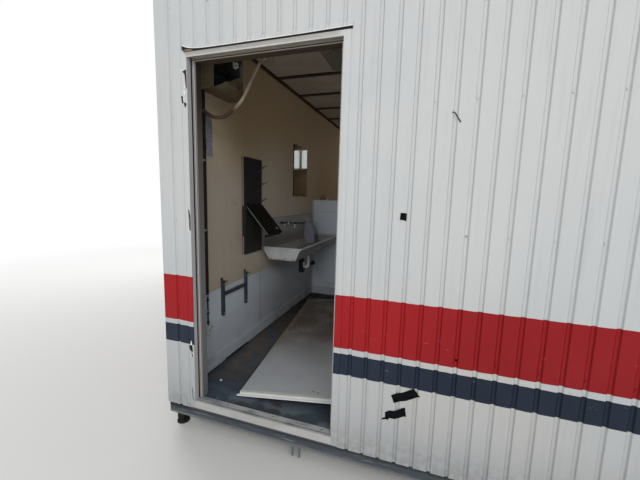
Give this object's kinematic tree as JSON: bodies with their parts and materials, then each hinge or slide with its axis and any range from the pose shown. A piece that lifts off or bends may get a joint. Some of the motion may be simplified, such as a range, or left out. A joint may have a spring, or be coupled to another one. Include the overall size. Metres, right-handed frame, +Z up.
{
  "type": "portable site cabin",
  "caption": "Portable site cabin with grooved sheet cladding, open doorway in the short end, loose door leaf on the floor and a washing place inside.",
  "frame": {"origin": "middle of the cabin's footprint at ground level, under its feet", "axes": "+Z up; +Y along the cabin's length, from the door end into the cabin; +X to the right as seen from outside the door end"},
  "size_m": [2.52, 5.02, 2.803],
  "materials": {
    "chassis_steel": "dull blue-grey paint, scuffed, dusty",
    "foot_steel": "dull black",
    "frame_cream": "worn cream enamel",
    "floor_covering": "worn dark blue-grey sheet flooring",
    "beige_lining": "satin beige lining",
    "cladding_paint": "weathered white with a red and a navy band",
    "ceiling_lining": "pale ceiling lining",
    "roof_sheet": "weathered grey",
    "trim_white": "white enamel",
    "dark_strip": "dark brown",
    "light_body": "pale plastic",
    "leaf_white": "scuffed off-white skin with pale metal end channels",
    "window_glass": "obscured glass",
    "grey_lining": "light grey laminate",
    "mirror_glass": "silvered",
    "black_board": "dull black",
    "hook_metal": "tarnished",
    "trough_white": "dull stainless steel",
    "tap_chrome": "polished, spotted",
    "waste_plastic": "white pipe with a black cup",
    "bracket_blue": "chipped blue-grey paint",
    "socket_plastic": "grey-white",
    "box_beige": "beige paint, dark inside",
    "conduit_plastic": "pale plastic, grimy"
  },
  "bodies": {
    "root": {"end_rails": "chassis_steel", "side_rails": "chassis_steel", "cross_members": "chassis_steel", "feet": "foot_steel", "step_lugs": "frame_cream", "floor_deck": "floor_covering", "front_wall_left": "beige_lining", "front_wall_right": "beige_lining", "front_wall_over_door": "beige_lining", "left_wall": "beige_lining", "right_wall": "beige_lining", "back_wall": "beige_lining", "front_cladding": "cladding_paint", "left_cladding": "cladding_paint", "right_cladding": "cladding_paint", "back_cladding": "cladding_paint", "corner_trims": "cladding_paint", "roof_panel": "ceiling_lining", "roof_covering": "roof_sheet", "roof_fascia": "trim_white", "ceiling_strips": "dark_strip", "ceiling_light": "light_body", "door_frame_left": "frame_cream", "door_frame_right": "frame_cream", "door_frame_head": "frame_cream", "door_sill": "frame_cream", "loose_door_leaf": "leaf_white", "window_frame": "trim_white", "window_panes": "window_glass", "wainscot": "grey_lining", "skirting": "grey_lining", "half_partition": "grey_lining", "wall_mirror": "mirror_glass", "wall_board": "black_board", "board_flap": "black_board", "coat_hooks": "hook_metal", "wash_trough": "trough_white", "taps": "tap_chrome", "waste_trap": "waste_plastic", "bench_bracket": "bracket_blue", "wall_socket": "socket_plastic", "cable_trunk": "dark_strip", "fuse_box": "box_beige", "fuse_box_cover": "box_beige", "hanging_conduit": "conduit_plastic"}
  },
  "joints": []
}
